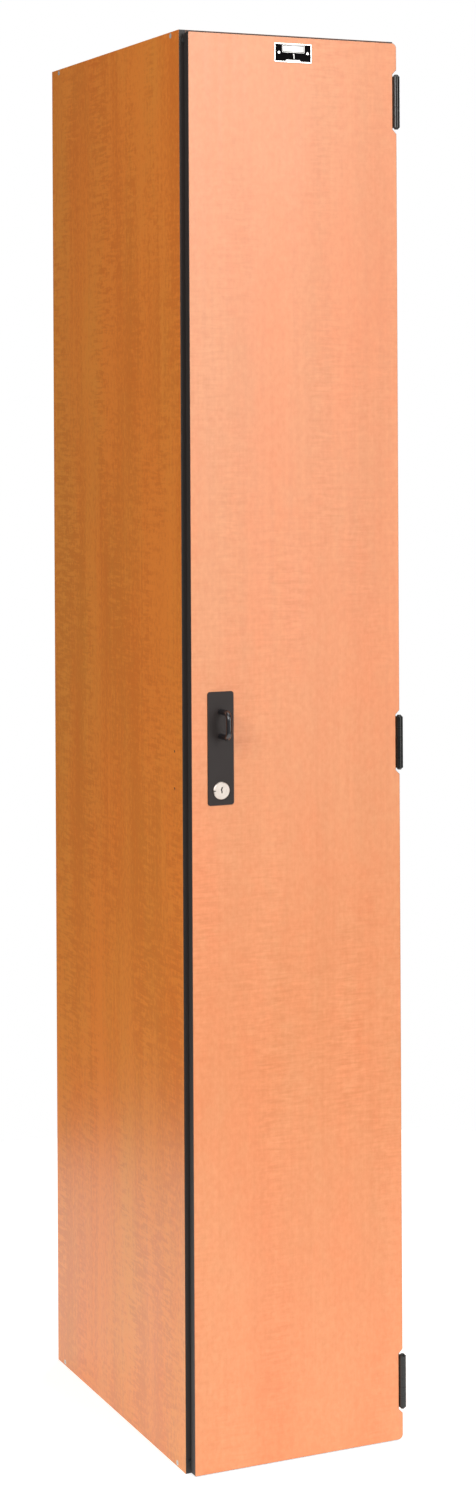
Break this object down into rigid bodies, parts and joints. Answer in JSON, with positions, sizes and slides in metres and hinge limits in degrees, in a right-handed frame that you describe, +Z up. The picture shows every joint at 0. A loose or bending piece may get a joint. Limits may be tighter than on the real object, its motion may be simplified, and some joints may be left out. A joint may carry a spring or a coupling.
{
  "type": "coin operated locker",
  "caption": "Tall narrow single-door locker of solid panels with wrap-around hinges, pull handle, key cylinder and a coin-return lock inside the door.",
  "frame": {"origin": "centre of the cabinet's underside, midway between the side panels and between their front and back edges", "axes": "+X to the right as the door is faced, +Y from the door into the locker, +Z up"},
  "size_m": [0.3059, 0.5051, 1.8288],
  "materials": {
    "door_laminate": "satin peach maple-figured laminate on a black phenolic core",
    "side_laminate": "satin amber maple-figured laminate on a black phenolic core",
    "inner_laminate": "satin amber laminate on a black phenolic core",
    "black_coat": "satin black powder coat on steel",
    "plate_coat": "satin charcoal coat on steel",
    "pull_coat": "gloss black",
    "nickel": "satin nickel plate",
    "zinc": "zinc-plated steel",
    "bright_screw": "bright nickel-plated steel",
    "black_screw": "black-coated steel",
    "brass": "plain brass",
    "spring_steel": "dark spring wire",
    "plate_metal": "bright aluminium with a black field",
    "cup_plastic": "moulded black",
    "rubber": "soft black"
  },
  "bodies": {
    "cabinet": {"left_side_panel": "side_laminate", "right_side_panel": "side_laminate", "top_panel": "inner_laminate", "bottom_panel": "inner_laminate", "back_panel": "inner_laminate", "hat_shelf": "inner_laminate", "shelf_clips": "black_coat", "ceiling_hook": "black_coat", "wall_hook_left": "black_coat", "wall_hook_right": "black_coat", "strike_plate": "black_coat", "hinge_frame_leaf_upper": "black_coat", "hinge_pin_upper": "black_coat", "hinge_frame_leaf_middle": "black_coat", "hinge_pin_middle": "black_coat", "hinge_frame_leaf_lower": "black_coat", "hinge_pin_lower": "black_coat", "shelf_clip_screws": "black_screw", "hook_screws": "black_screw", "hinge_frame_screws": "black_screw", "strike_screws": "black_screw", "corner_screws": "bright_screw", "back_screws": "bright_screw", "door_bumpers": "rubber"},
    "door": {"door_panel": "door_laminate", "lock_plate": "plate_coat", "door_pull": "pull_coat", "pull_screws": "black_screw", "number_plate": "plate_metal", "number_plate_rivets": "bright_screw", "hinge_door_leaf_upper": "black_coat", "hinge_door_leaf_middle": "black_coat", "hinge_door_leaf_lower": "black_coat", "hinge_door_screws": "black_screw", "cylinder_shell": "nickel", "cylinder_nut": "nickel", "lock_case": "zinc", "lock_cover": "zinc", "case_screws": "zinc", "cover_screws": "zinc", "bolt_guides": "zinc", "coin_chute": "zinc", "coin_slot_bezel": "bright_screw", "coin_return_cup": "cup_plastic", "lever_pivot_pin": "zinc", "lever_spring": "spring_steel"},
    "key_plug": {"key_plug": "nickel", "wafer_tumblers": "brass", "drive_cam": "zinc", "cam_screw": "zinc"},
    "bolt": {"lock_bolt": "zinc"},
    "coin_lever": {"coin_lever": "zinc"}
  },
  "joints": [
    {"name": "door_swing", "type": "hinge", "parent": "cabinet", "child": "door", "pos_m": [0.1488, -0.2456, 0.912], "axis": [0, 0, 1], "range_deg": [0, 180]},
    {"name": "key_turn", "type": "hinge", "parent": "door", "child": "key_plug", "pos_m": [-0.107, -0.2286, 0.8647], "axis": [0, -1, 0], "range_deg": [0, 90]},
    {"name": "bolt_slide", "type": "slide", "parent": "door", "child": "bolt", "axis": [-1, 0, 0], "range_m": [0, 0.00919]},
    {"name": "coin_lever_tilt", "type": "hinge", "parent": "door", "child": "coin_lever", "pos_m": [-0.101, -0.2251, 0.903], "axis": [0, 1, 0], "range_deg": [0, 35], "stiffness_Nm_per_rad": 0.01, "springref_deg": -22.92}
  ],
  "couplings": [
    {"joint": "key_turn", "follows": "bolt_slide", "rad_per_m": 170.89}
  ]
}
